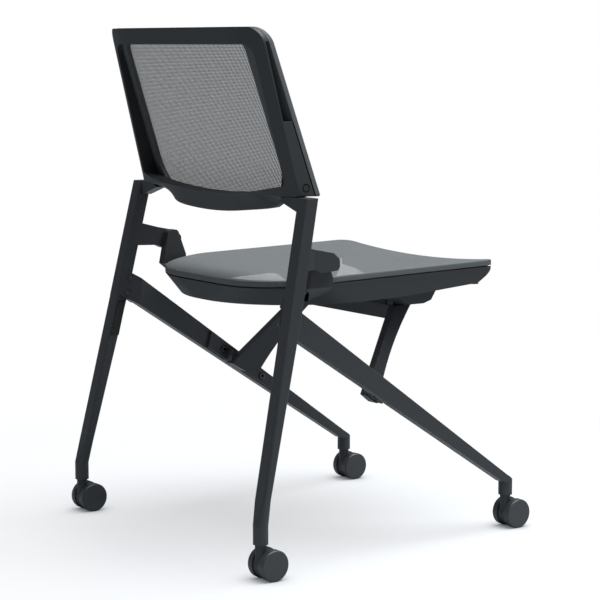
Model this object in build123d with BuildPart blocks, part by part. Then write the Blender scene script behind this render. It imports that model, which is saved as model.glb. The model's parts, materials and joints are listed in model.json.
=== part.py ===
"""Conference chair with a flip-up mesh seat on four twin-wheel casters.

Millimetres, +Z up, floor at Z = 0, the sitter faces -Y. Left is +X.
"""
import os
from math import atan2, cos, sin, sqrt, tan

from build123d import *

os.makedirs("parts", exist_ok=True)

# Feet: where the four casters stand
foot_height = 58.0
socket_diameter = 24.0
rear_foot_x = 287.0
rear_foot_y = 283.0
front_foot_x = 236.0
front_foot_y = -256.0

# Rear legs, which run up as the uprights of the back
bar_width = 26.0
bar_edge_radius = 2.5
upright_depth = 23.0
head_x = 255.0
head_y = 171.0
head_height = 587.0
ankle_y = 271.0
ankle_height = 125.0
ankle_width = 29.0
ankle_depth = 15.0
ankle_rear_shift = 1.0
ankle_blend = 37.0
ankle_step = 0.6
gusset_reach = 65.0
gusset_shoulder = 50.0
gusset_tip = 8.0
gusset_rise = 24.0
gusset_depth = 20.0
spigot_width = 9.0
spigot_depth = 8.0
spigot_height = 20.0
spigot_inset = 26.5
spigot_forward = 6.0

# Front legs, lapped on the inner faces of the uprights
front_root_height = 434.0
front_root_drop = 51.5
root_chamfer = 25.0
front_toe_top = 90.66
front_toe_bottom = 73.45

# Seat pivot on the arms of the uprights
pivot_y = 130.0
pivot_height = 484.0
pivot_pin_diameter = 10.0
bush_diameter = 14.0
bush_flange = 0.8
bush_flange_diameter = 22.0
arm_inner_x = 232.3
arm_thickness = 17.7
arm_top_rise = 16.0
arm_top_slope = 0.1
arm_underside_drop = 17.0
arm_root_drop = 11.0
arm_neck = 25.0
arm_nose = 24.0
arm_nose_rise = 3.0
arm_nose_radius = 8.0

# Cross brace between the front legs
flange_thickness = 6.0
flange_rear_y = 60.0
flange_front_y = -72.0
flange_bump = 3.0
web_thickness = 17.0
web_height = 24.0
strut_root_sink = 27.45
strut_root_y = 37.0
strut_root_depth = 42.0
strut_root_turn = 12.0
strut_width = 16.0
strut_setback = 5.0
strut_hollow = 10.0
bar_half_length = 140.0
bar_rear_y = -88.0
bar_depth = 34.0
bar_top_height = 386.0
bar_height = 24.0
brace_screw_rear_y = 26.6
brace_screw_front_y = -55.6
brace_screw_shank = 6.0
brace_screw_head = 12.0
brace_screw_head_height = 4.0
brace_screw_grip = 17.0
counterbore_clearance = 1.0
counterbore_depth = 2.0

# Seat
seat_half_width = 216.0
seat_front_y = -248.0
seat_rear_y = 212.0
seat_front_radius = 25.0
seat_rear_radius = 145.0
pan_rear_radius = 205.0
pan_inset = 4.0
seat_middle_y = 70.0
seat_front_room = 12.0
seat_rear_room = 8.0
seat_front_height = 463.5
seat_middle_height = 456.0
seat_rear_height = 447.0
seat_front_dish = 12.0
seat_middle_dish = 8.0
seat_rear_dish = 1.0
seat_mesh_thickness = 1.5
seat_carrier_height = 8.0
seat_carrier_width = 22.0
shadow_gap = 2.0
shadow_gap_depth = 5.0
seat_ring_width = 24.0
pan_rear_bottom = 404.5
pan_middle_bottom = 413.0
pan_nose_bottom = 424.0
pan_nose_length = 38.0
pan_nose_turn = 10.0
pan_nose_rise = 2.0
ear_thickness = 15.0
ear_crown_radius = 7.5
ear_shoulder_drop = 43.0
ear_front_reach = 24.0
ear_rear_reach = 23.0
ear_foot_inset = 50.0
ear_foot_rise = 8.0
ear_foot_rear_inset = 14.0
rib_rear_y = -60.0
rib_front_y = -157.0
rib_thickness = 12.0
rib_bulge_half_width = 172.0
rib_inner_margin = 4.0
rib_bulge_slope = 16.0
rest_pad_height = 5.0
rest_pad_diameter = 18.0
rest_pad_x = 128.0
rest_clearance = 0.2
tongue_rear_y = -154.0
tongue_half_width = 151.0
tongue_thickness = 8.0
apron_thickness = 4.0
apron_drop = 9.0
apron_end_drop = 4.5
apron_flat_half_width = 150.0
apron_overlap = 2.0

# Backrest
back_bottom_half_width = 241.0
back_top_half_width = 232.0
back_top_height = 851.5
back_rear_y = 199.0
back_rear_slope = 0.243
back_front_y = 161.0
back_front_slope = 0.328
back_flat_half_width = 150.0
back_wrap_radius = 200.0
back_corner_radius = 26.0
back_split_gap = 1.0
back_rail_drop = 35.0
back_curve_rise = 12.5
back_rail_end_rise = 28.0
back_rail_end_x = 187.0
back_rail_turn_x = 75.0
back_rail_hollow = 100.0
back_opening_top_inset = 26.5
back_opening_top_half_width = 211.0
back_opening_bottom_half_width = 219.0
back_opening_drop = 3.5
back_opening_rise = 9.0
back_opening_corner_rise = 20.0
back_opening_radius = 10.0
back_opening_top_radius = 20.0
back_carrier_depth = 8.0
back_carrier_side = 27.0
back_carrier_end = 7.0
back_carrier_rise = 4.0
back_carrier_radius = 55.0
back_mesh_thickness = 1.5
back_slot_inset = 22.5
back_slot_length = 123.0
back_slot_top_width = 5.0
back_slot_lip = 4.5
back_slot_reach = 16.0
back_screw_rise = 13.5
back_screw_shank = 4.0
back_screw_length = 10.0
back_screw_head = 10.0
back_screw_head_height = 3.0
back_screw_wall = 2.0
back_cap_diameter = 11.0
back_cap_height = 2.5

# Casters
wheel_diameter = 50.0
wheel_width = 12.5
wheel_bevel = 2.0
wheel_skin = 3.0
caster_housing_width = 17.0
caster_housing_diameter = 46.0
caster_trail = 14.0
caster_neck_diameter = 18.0
stem_seat = 10.0
stem_diameter = 11.0
stem_length = 24.0
axle_diameter = 6.0
sleeve_wall = 2.5

# Fits
running_clearance = 0.05
wheel_side_gap = 0.5
collar_gap = 0.3
seat_screw_shank = 4.0
seat_screw_head = 8.0
seat_screw_length = 24.0
seat_screw_head_height = 3.0
seat_screw_front_y = -170.0
seat_screw_middle_y = -20.0
seat_screw_rear_x = 30.0
joint_bolt_diameter = 8.0
joint_bolt_length = 34.0
joint_bolt_low_drop = 42.0
joint_bolt_high_drop = 16.0
bolt_clearance = 0.1
pin_skin = 3.0
buffer_gap = 7.5
buffer_length = 60.0
buffer_width = 15.0
buffer_thickness = 2.5

# Directions worked out from the stance
splay = atan2(rear_foot_x - head_x, head_height - foot_height)
lean = (ankle_y - head_y) / (head_height - ankle_height)


def save(piece, name):
    """Label a finished sub-part and write its STEP file."""
    piece.part.label = name
    export_step(piece.part, f"parts/{name}.step")


def save_pair(piece, name):
    """Write a sub-part of the left side and its mirror image on the right."""
    save(piece, f"{name}_left")
    with BuildPart() as opposite:
        mirror(piece.part, about=Plane.YZ)
    save(opposite, f"{name}_right")


def upright_x(height):
    """Centre of the upright across the chair at a height."""
    return head_x + (head_height - height) * tan(splay)


def upright_y(height):
    """Centre of the upright front to rear at a height."""
    return head_y + (head_height - height) * lean


def front_upper(y):
    """Height of the front leg's upper edge."""
    return front_root_height + front_upper_slope * (y - front_root_y)


def front_lower(y):
    """Height of the front leg's lower edge."""
    return front_root_height - front_root_drop + front_lower_slope * (y - front_root_y)


front_root_y = upright_y(front_root_height) + upright_depth / 2
front_root_low = front_root_height - front_root_drop
front_upper_slope = (front_root_height - front_toe_top) / (front_root_y - front_foot_y)
front_lower_slope = (front_root_low - front_toe_bottom) / (front_root_y - front_foot_y)
front_inner_x = front_foot_x - bar_width / 2

# Rear legs
upright_plane = Plane(
    origin=(rear_foot_x, 0, foot_height), x_dir=(0, 1, 0), z_dir=(cos(splay), 0, sin(splay))
)


def leg_plane(y, height):
    """A plane across the rear leg, square to its splay."""
    return Plane(
        origin=(upright_x(height), y, height),
        x_dir=(cos(splay), 0, sin(splay)),
        z_dir=(-sin(splay), 0, cos(splay)),
    )


top_margin = 5.0
ankle_middle_y = ankle_y + (upright_depth - ankle_depth) / 2 + ankle_rear_shift
taper_run = (front_root_low - foot_height) / cos(splay)
head_run = (head_height + top_margin - foot_height) / cos(splay)
head_margin_y = upright_y(head_height + top_margin)
sleeve_diameter = stem_diameter + 2 * running_clearance + 2 * sleeve_wall
socket_depth = stem_length + 2.0
arm_outer_x = arm_inner_x + arm_thickness
pin_length = arm_thickness + ear_thickness - 2 * pin_skin
pin_start_x = arm_inner_x - ear_thickness + pin_skin
spigot_x = head_x - spigot_inset
spigot_y = head_y - spigot_forward
shoulder_x = head_x - gusset_shoulder
back_screw_seat_x = spigot_x + spigot_width / 2 + back_screw_wall
inner_face = upright_plane.offset(-bar_width / 2)
buffer_top = front_root_low - buffer_gap
buffer_bottom = buffer_top - buffer_length
back_base = head_height + back_split_gap
back_screw_height = back_base + back_screw_rise


def inner_run(height):
    """Distance up the upright's inner face from the origin of its plane."""
    return (height - inner_face.origin.Z) / cos(splay)


def joint_bolts(diameter):
    """The two blind bolts that clamp a front leg to the left upright."""
    with BuildPart() as bolts:
        with BuildSketch(inner_face.offset(-joint_bolt_length / 2)):
            for drop in (joint_bolt_low_drop, joint_bolt_high_drop):
                height = front_root_height - drop
                with Locations((upright_y(height), inner_run(height))):
                    Circle(diameter / 2)
        extrude(amount=joint_bolt_length)
    return bolts.part


with BuildPart() as pivot_arm:
    with BuildSketch(Plane.YZ.offset(arm_inner_x - 1)):
        with BuildLine():
            Polyline(
                (pivot_y - arm_nose, pivot_height + arm_nose_rise),
                (pivot_y - arm_nose / 2, pivot_height + arm_top_rise - arm_top_slope * arm_neck),
                (pivot_y + arm_neck, pivot_height + arm_top_rise + 2 * arm_top_slope * arm_neck),
                (upright_y(pivot_height), pivot_height + 2 * arm_top_rise),
                (upright_y(pivot_height), pivot_height - arm_root_drop),
                (pivot_y + arm_neck, pivot_height - arm_root_drop),
                (pivot_y + arm_neck / 2, pivot_height - arm_underside_drop),
                (pivot_y - arm_nose, pivot_height - arm_underside_drop + arm_top_slope * arm_nose),
                close=True,
            )
        make_face()
        fillet(vertices().group_by(Axis.X)[0], arm_nose_radius)
    extrude(amount=arm_thickness + bar_width)
    with BuildSketch(Plane.XY.offset(pivot_height)):
        with BuildLine():
            Polyline(
                (arm_inner_x, pivot_y - 2 * arm_nose),
                (arm_outer_x, pivot_y - 2 * arm_nose),
                (arm_outer_x, pivot_y + arm_neck),
                (upright_x(pivot_height), upright_y(pivot_height)),
                (upright_x(pivot_height) - bar_width / 2 + 1, upright_y(pivot_height)),
                (arm_inner_x, pivot_y + arm_neck),
                close=True,
            )
        make_face()
    extrude(amount=3 * arm_nose, both=True, mode=Mode.INTERSECT)

with BuildPart() as rear_leg_left:
    with BuildSketch(upright_plane):
        with BuildLine():
            Polyline(
                (upright_y(front_root_low) - upright_depth / 2, taper_run),
                (upright_y(front_root_low) + upright_depth / 2, taper_run),
                (head_margin_y + upright_depth / 2, head_run),
                (head_margin_y - upright_depth / 2, head_run),
                close=True,
            )
        make_face()
    extrude(amount=bar_width / 2, both=True)
    fillet(edges().filter_by(lambda edge: edge.length > 2 * bar_width), bar_edge_radius)
    with BuildSketch(leg_plane(upright_y(front_root_low), front_root_low).offset(ankle_step)):
        RectangleRounded(bar_width - ankle_step, upright_depth - ankle_step, bar_edge_radius)
    with BuildSketch(leg_plane(ankle_middle_y, ankle_height)):
        RectangleRounded(ankle_width, ankle_depth, 2 * bar_edge_radius)
    with BuildSketch(Plane.XY.offset(ankle_height - ankle_blend)):
        with Locations((rear_foot_x, rear_foot_y)):
            RectangleRounded(socket_diameter, socket_diameter, socket_diameter / 2 - ankle_step / 2)
    loft(ruled=True)
    with BuildSketch(Plane.XY.offset(foot_height)):
        with Locations((rear_foot_x, rear_foot_y)):
            Circle(socket_diameter / 2)
    extrude(amount=ankle_height - ankle_blend - foot_height)
    split(bisect_by=Plane.XY.offset(head_height), keep=Keep.BOTTOM)
    with BuildSketch(Plane.XZ.offset(-(head_y + gusset_depth / 2))):
        with BuildLine():
            Polyline(
                (head_x, head_height),
                (shoulder_x, head_height),
                (head_x - gusset_reach, head_height - gusset_tip),
                (head_x - bar_width / 2, head_height - gusset_rise),
                (head_x, head_height - gusset_rise),
                close=True,
            )
        make_face()
    extrude(amount=gusset_depth)
    with BuildSketch(Plane.XY.offset(head_height - top_margin)):
        with Locations((spigot_x, spigot_y)):
            Rectangle(spigot_width, spigot_depth)
    extrude(amount=spigot_height + top_margin)
    with BuildSketch(Plane.YZ.offset(back_screw_seat_x)):
        with Locations((spigot_y, back_screw_height)):
            Circle(back_screw_shank / 2)
    extrude(amount=-back_screw_length, mode=Mode.SUBTRACT)
    add(pivot_arm.part)
    with BuildSketch(Plane.YZ.offset(pin_start_x)):
        with Locations((pivot_y, pivot_height)):
            Circle(pivot_pin_diameter / 2)
    extrude(amount=pin_length, mode=Mode.SUBTRACT)
    with BuildSketch(Plane.XY.offset(foot_height)):
        with Locations((rear_foot_x, rear_foot_y)):
            Circle(sleeve_diameter / 2)
    extrude(amount=socket_depth, mode=Mode.SUBTRACT)
    add(joint_bolts(joint_bolt_diameter + 2 * bolt_clearance), mode=Mode.SUBTRACT)
save_pair(rear_leg_left, "rear_leg")

# Front legs
rear_low_y = front_root_y + lean * front_root_drop / (1 + lean * front_lower_slope)
front_plane = Plane.YZ.offset(front_foot_x)
boss_front_y = front_root_y - upright_depth - top_margin
brace_screw_places = [
    (y, (front_upper(y) + front_lower(y)) / 2) for y in (brace_screw_rear_y, brace_screw_front_y)
]
root_up = Vector(-tan(splay), -lean, 1)
root_across = Vector(bar_width, root_chamfer, 0)
root_plane = Plane(
    origin=(upright_x(front_root_height) - bar_width / 2, front_root_y, front_root_height),
    x_dir=root_across,
    z_dir=root_up.cross(root_across) * -1,
)
with BuildPart() as front_leg_left:
    with BuildSketch(front_plane):
        with BuildLine():
            Polyline(
                (front_root_y, front_upper(front_root_y)),
                (front_foot_y, front_upper(front_foot_y)),
                (front_foot_y, front_lower(front_foot_y + socket_diameter / 2)),
                (front_foot_y + socket_diameter / 2, front_lower(front_foot_y + socket_diameter / 2)),
                (rear_low_y, front_lower(rear_low_y)),
                close=True,
            )
        make_face()
    extrude(amount=bar_width / 2, both=True)
    fillet(edges().filter_by(lambda edge: edge.length > 10 * bar_width), bar_edge_radius)
    with BuildSketch(front_plane):
        with BuildLine():
            Polyline(
                (front_root_y, front_upper(front_root_y)),
                (boss_front_y, front_upper(boss_front_y)),
                (boss_front_y + lean * front_root_drop, front_lower(boss_front_y + lean * front_root_drop)),
                (rear_low_y, front_lower(rear_low_y)),
                close=True,
            )
        make_face()
    extrude(amount=bar_width)
    split(bisect_by=inner_face, keep=Keep.BOTTOM)
    split(bisect_by=root_plane, keep=Keep.TOP)
    with BuildSketch(Plane.XY.offset(foot_height)):
        with Locations((front_foot_x, front_foot_y)):
            Circle(socket_diameter / 2)
    extrude(amount=socket_diameter * 2)
    with BuildSketch(front_plane):
        with BuildLine():
            Polyline(
                (front_foot_y - socket_diameter, front_upper(front_foot_y - socket_diameter)),
                (front_foot_y + socket_diameter, front_upper(front_foot_y + socket_diameter)),
                (front_foot_y + socket_diameter, head_height),
                (front_foot_y - socket_diameter, head_height),
                close=True,
            )
        make_face()
    extrude(amount=bar_width, both=True, mode=Mode.SUBTRACT)
    with BuildSketch(Plane.XY.offset(foot_height)):
        with Locations((front_foot_x, front_foot_y)):
            Circle(sleeve_diameter / 2)
    extrude(amount=socket_depth, mode=Mode.SUBTRACT)
    add(joint_bolts(joint_bolt_diameter + 2 * bolt_clearance), mode=Mode.SUBTRACT)
    with BuildSketch(Plane.YZ.offset(front_inner_x)):
        with Locations(*brace_screw_places):
            Circle(brace_screw_shank / 2)
    extrude(amount=brace_screw_grip, mode=Mode.SUBTRACT)
save_pair(front_leg_left, "front_leg")

with BuildPart() as leg_joint_bolts:
    add(joint_bolts(joint_bolt_diameter))
    mirror(about=Plane.YZ)
save(leg_joint_bolts, "leg_joint_bolts")

# Rubber buffers that meet the next chair when chairs are nested
with BuildPart() as nesting_buffers:
    with BuildSketch(inner_face):
        with BuildLine():
            Polyline(
                (upright_y(buffer_bottom) - buffer_width / 2, inner_run(buffer_bottom)),
                (upright_y(buffer_bottom) + buffer_width / 2, inner_run(buffer_bottom)),
                (upright_y(buffer_top) + buffer_width / 2, inner_run(buffer_top)),
                (upright_y(buffer_top) - buffer_width / 2, inner_run(buffer_top)),
                close=True,
            )
        make_face()
    extrude(amount=-buffer_thickness)
    add(rear_leg_left.part, mode=Mode.SUBTRACT)
    mirror(about=Plane.YZ)
save(nesting_buffers, "nesting_buffers")

# Sleeves pressed into the leg sockets, in which the caster stems turn
feet = {
    "rear_left": (rear_foot_x, rear_foot_y),
    "rear_right": (-rear_foot_x, rear_foot_y),
    "front_left": (front_foot_x, front_foot_y),
    "front_right": (-front_foot_x, front_foot_y),
}
with BuildPart() as caster_sleeves:
    with BuildSketch(Plane.XY.offset(foot_height)):
        with Locations(*feet.values()):
            Circle(sleeve_diameter / 2)
            Circle(stem_diameter / 2 + running_clearance, mode=Mode.SUBTRACT)
    extrude(amount=socket_depth)
save(caster_sleeves, "caster_sleeves")

# Cross brace
flange_inner_x = front_inner_x - flange_thickness
head_seat_x = flange_inner_x + counterbore_depth
strut_root = (
    Vector(front_inner_x - strut_setback, strut_root_y),
    Vector(front_inner_x - strut_setback - strut_root_turn, strut_root_y - strut_root_depth),
    Vector(
        front_inner_x - strut_setback - strut_root_turn - 2 * strut_width,
        strut_root_y - strut_root_depth - strut_width,
    ),
    Vector(front_inner_x - strut_setback - strut_width, strut_root_y),
)
strut_top = (
    Vector(bar_half_length, bar_rear_y),
    Vector(bar_half_length, bar_rear_y - bar_depth),
    Vector(bar_half_length - 1.5 * strut_width, bar_rear_y - bar_depth),
    Vector(bar_half_length - strut_width, bar_rear_y),
)
strut_root_height = front_lower(strut_root_y) - strut_root_sink
web_rear_y = strut_root_y - strut_width
web_front_y = strut_root_y - strut_root_depth
flange_top_y = flange_rear_y - strut_width / 2
flange_tip_y = flange_front_y - bar_edge_radius
strut_middle = [(low + high) / 2 for low, high in zip(strut_root, strut_top)]
strut_middle[1] += Vector(0, strut_hollow)
strut_middle[2] += Vector(0, strut_hollow)
strut_sections = (
    (strut_root_height, strut_root),
    ((strut_root_height + bar_top_height) / 2, strut_middle),
    (bar_top_height, strut_top),
)
with BuildPart() as cross_brace:
    with BuildSketch(Plane.YZ.offset(flange_inner_x)):
        with BuildLine():
            Polyline(
                (flange_top_y, front_upper(flange_top_y) - bar_edge_radius),
                (flange_rear_y, front_lower(flange_rear_y) + bar_edge_radius),
                (web_rear_y, front_lower(web_rear_y) + bar_edge_radius),
                (web_rear_y - flange_bump, front_lower(web_rear_y - flange_bump) - flange_bump),
                (web_front_y, front_lower(web_front_y) + bar_edge_radius),
                (flange_front_y, front_lower(flange_front_y) + bar_edge_radius),
                (flange_tip_y, front_upper(flange_tip_y) - bar_edge_radius),
                close=True,
            )
        make_face()
    extrude(amount=flange_thickness)
    with BuildSketch(Plane.YZ.offset(flange_inner_x - web_thickness)):
        with BuildLine():
            Polyline(
                (web_rear_y, front_lower(web_rear_y)),
                (web_rear_y, front_lower(web_rear_y) + web_height),
                (web_front_y, front_lower(web_front_y) + web_height),
                (web_front_y, front_lower(web_front_y)),
                close=True,
            )
        make_face()
    extrude(amount=web_thickness)
    for height, corners in strut_sections:
        with BuildSketch(Plane.XY.offset(height)):
            with BuildLine():
                Polyline(*corners, close=True)
            make_face()
    loft()
    with BuildSketch(Plane.YZ):
        with BuildLine():
            Polyline(
                (front_root_y, front_lower(front_root_y) - flange_bump),
                (front_foot_y, front_lower(front_foot_y) - flange_bump),
                (front_foot_y, 0),
                (front_root_y, 0),
                close=True,
            )
        make_face()
    extrude(amount=front_inner_x, mode=Mode.SUBTRACT)
    with BuildSketch(Plane.YZ):
        with Locations((bar_rear_y - bar_depth / 2, bar_top_height - bar_height / 2)):
            Rectangle(bar_depth, bar_height)
    extrude(amount=bar_half_length - strut_width)
    with BuildSketch(Plane.YZ.offset(head_seat_x)):
        with Locations(*brace_screw_places):
            Circle(brace_screw_head / 2 + counterbore_clearance)
    extrude(amount=-2 * brace_screw_head_height, mode=Mode.SUBTRACT)
    with BuildSketch(Plane.YZ.offset(flange_inner_x)):
        with Locations(*brace_screw_places):
            Circle(brace_screw_shank / 2 + bolt_clearance)
    extrude(amount=flange_thickness, mode=Mode.SUBTRACT)
    mirror(about=Plane.YZ)
save(cross_brace, "cross_brace")

with BuildPart() as brace_screws:
    with BuildSketch(Plane.YZ.offset(head_seat_x)):
        with Locations(*brace_screw_places):
            Circle(brace_screw_head / 2)
    extrude(amount=-brace_screw_head_height)
    with BuildSketch(Plane.YZ.offset(head_seat_x)):
        with Locations(*brace_screw_places):
            Circle(brace_screw_shank / 2)
    extrude(amount=flange_thickness - counterbore_depth + brace_screw_grip)
    mirror(about=Plane.YZ)
save(brace_screws, "brace_screws")

# Rubber pads on the brace that the seat rests on
with BuildPart() as rest_pads:
    with BuildSketch(Plane.XY.offset(bar_top_height)):
        with Locations((rest_pad_x, bar_rear_y - bar_depth / 2), (-rest_pad_x, bar_rear_y - bar_depth / 2)):
            Circle(rest_pad_diameter / 2)
    extrude(amount=rest_pad_height)
save(rest_pads, "rest_pads")

# Pivot pins fixed in the arms, and the flanged bushes of the seat that turn on them
ear_outer_x = arm_inner_x - bush_flange
ear_inner_x = ear_outer_x - ear_thickness
with BuildPart() as pivot_pins:
    with BuildSketch(Plane.YZ.offset(pin_start_x)):
        with Locations((pivot_y, pivot_height)):
            Circle(pivot_pin_diameter / 2)
    extrude(amount=pin_length)
    mirror(about=Plane.YZ)
save(pivot_pins, "pivot_pins")


def bush_space(clearance):
    """The left bush as a plain stepped cylinder."""
    with BuildPart() as body:
        with BuildSketch(Plane.YZ.offset(pin_start_x - 1)):
            with Locations((pivot_y, pivot_height)):
                Circle(bush_diameter / 2 + clearance)
        extrude(amount=arm_inner_x - pin_start_x + 1)
        with BuildSketch(Plane.YZ.offset(ear_outer_x)):
            with Locations((pivot_y, pivot_height)):
                Circle(bush_flange_diameter / 2)
        extrude(amount=bush_flange)
    return body.part


with BuildPart() as pivot_bushes:
    add(bush_space(0))
    with BuildSketch(Plane.YZ.offset(pin_start_x - 1 / 2)):
        with Locations((pivot_y, pivot_height)):
            Circle(pivot_pin_diameter / 2 + running_clearance)
    extrude(amount=arm_inner_x, mode=Mode.SUBTRACT)
    mirror(about=Plane.YZ)
save(pivot_bushes, "pivot_bushes")

# Seat
seat_stations = (
    (seat_front_y - seat_front_room, seat_front_height, seat_front_dish),
    (seat_middle_y, seat_middle_height, seat_middle_dish),
    (seat_rear_y + seat_rear_room, seat_rear_height, seat_rear_dish),
)
seat_ceiling = seat_front_height + seat_carrier_height
frame_drop = seat_mesh_thickness + seat_carrier_height + shadow_gap


def below_seat(drop):
    """Everything under the dished seat surface, lowered by a drop."""
    with BuildPart() as body:
        for y, height, dish in seat_stations:
            with BuildSketch(Plane.XZ.offset(-y)):
                with BuildLine():
                    arc = ThreePointArc(
                        (-seat_half_width, height - drop),
                        (0, height - drop - dish),
                        (seat_half_width, height - drop),
                    )
                    Polyline(arc @ 1, (seat_half_width, 0), (-seat_half_width, 0), arc @ 0)
                make_face()
        loft(ruled=True)
    return body.part


def seat_plan(inset, rear_radius):
    """Outline of the seat from above, drawn in by an inset."""
    with BuildSketch() as plan:
        with Locations((0, (seat_front_y + seat_rear_y) / 2)):
            Rectangle(2 * (seat_half_width - inset), seat_rear_y - seat_front_y - 2 * inset)
        fillet(plan.vertices().group_by(Axis.Y)[0], max(seat_front_radius - inset, bar_edge_radius))
        fillet(plan.vertices().group_by(Axis.Y)[-1], rear_radius - inset)
    return plan.sketch


def seat_surface(x, y):
    """Height of the seat surface at a place on the plan."""
    for (y0, z0, dish0), (y1, z1, dish1) in zip(seat_stations, seat_stations[1:]):
        if y0 <= y <= y1:
            share = (y - y0) / (y1 - y0)
            dish = dish0 + share * (dish1 - dish0)
            return z0 + share * (z1 - z0) - dish * (1 - (x / seat_half_width) ** 2)
    return seat_middle_height


screw_inset = (seat_ring_width + pan_inset) / 2
side_x = seat_half_width - screw_inset
rear_y = seat_rear_y - screw_inset
screw_places = [(x, y) for x in (-side_x, side_x) for y in (seat_screw_front_y, seat_screw_middle_y)]
screw_places += [(-seat_screw_rear_x, rear_y), (seat_screw_rear_x, rear_y)]


def seat_screw(place, shank, head, head_length):
    """One screw that runs up through the seat frame into the mesh carrier."""
    top = seat_surface(*place) - seat_mesh_thickness - seat_carrier_height / 2
    with BuildPart() as screw:
        with BuildSketch(Plane.XY.offset(top - seat_screw_length)):
            with Locations(place):
                Circle(shank / 2)
        extrude(amount=seat_screw_length)
        with BuildSketch(Plane.XY.offset(top - seat_screw_length)):
            with Locations(place):
                Circle(head / 2)
        extrude(amount=-head_length)
    return screw.part


ear_rear_y = pivot_y + ear_rear_reach
ear_front_y = pivot_y - ear_front_reach
ear_foot_rear_y = ear_rear_y - ear_foot_rear_inset
ear_shoulder = pivot_height - ear_shoulder_drop
ear_middle_x = (ear_inner_x + ear_outer_x) / 2
rib_bottom = bar_top_height + rest_pad_height + rest_clearance
rib_inner_x = rest_pad_x - rest_pad_diameter / 2 - rib_inner_margin
nose_rear_y = seat_front_y + pan_nose_length + pan_nose_turn
nose_front_y = seat_front_y + pan_nose_length
nose_slope = (seat_front_height - frame_drop - pan_nose_bottom - pan_nose_rise) / pan_nose_length
rib_slope = (pan_nose_bottom - pan_middle_bottom) / (rib_rear_y - nose_rear_y)
rib_front_low = pan_middle_bottom + rib_slope * (rib_rear_y - rib_front_y)
apron_rear_y = seat_front_y + seat_ring_width + apron_thickness
apron_top = pan_nose_bottom + pan_nose_rise + nose_slope * (nose_front_y - seat_front_y - seat_ring_width)
apron_half_width = seat_half_width - seat_ring_width + apron_overlap
tongue_front_y = seat_front_y + seat_ring_width / 2
tongue_bottom = (
    (tongue_rear_y, pan_middle_bottom + rib_slope * (rib_rear_y - tongue_rear_y)),
    (nose_rear_y, pan_nose_bottom),
    (nose_front_y, pan_nose_bottom + pan_nose_rise),
    (tongue_front_y, pan_nose_bottom + pan_nose_rise + nose_slope * (nose_front_y - tongue_front_y)),
)
with BuildPart() as front_tongue:
    with BuildSketch():
        with BuildLine():
            tip = ThreePointArc(
                (tongue_half_width, tongue_front_y), (0, tongue_rear_y), (-tongue_half_width, tongue_front_y)
            )
            Line(tip @ 1, tip @ 0)
        make_face()
    extrude(amount=seat_ceiling)
    with BuildSketch(Plane.YZ):
        with BuildLine():
            Polyline(
                *tongue_bottom, *[(y, z + tongue_thickness) for y, z in reversed(tongue_bottom)], close=True
            )
        make_face()
    extrude(amount=tongue_half_width, both=True, mode=Mode.INTERSECT)
    add(below_seat(frame_drop), mode=Mode.INTERSECT)

with BuildPart() as pan_space:
    with BuildSketch(Plane.XY.offset(pan_rear_bottom)):
        add(seat_plan(pan_inset, pan_rear_radius))
    with BuildSketch(Plane.XY.offset(seat_rear_height - frame_drop)):
        add(seat_plan(0, seat_rear_radius))
    loft(ruled=True)
    with BuildSketch(Plane.XY.offset(seat_rear_height - frame_drop)):
        add(seat_plan(0, seat_rear_radius))
    extrude(amount=2 * seat_ring_width)

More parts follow.
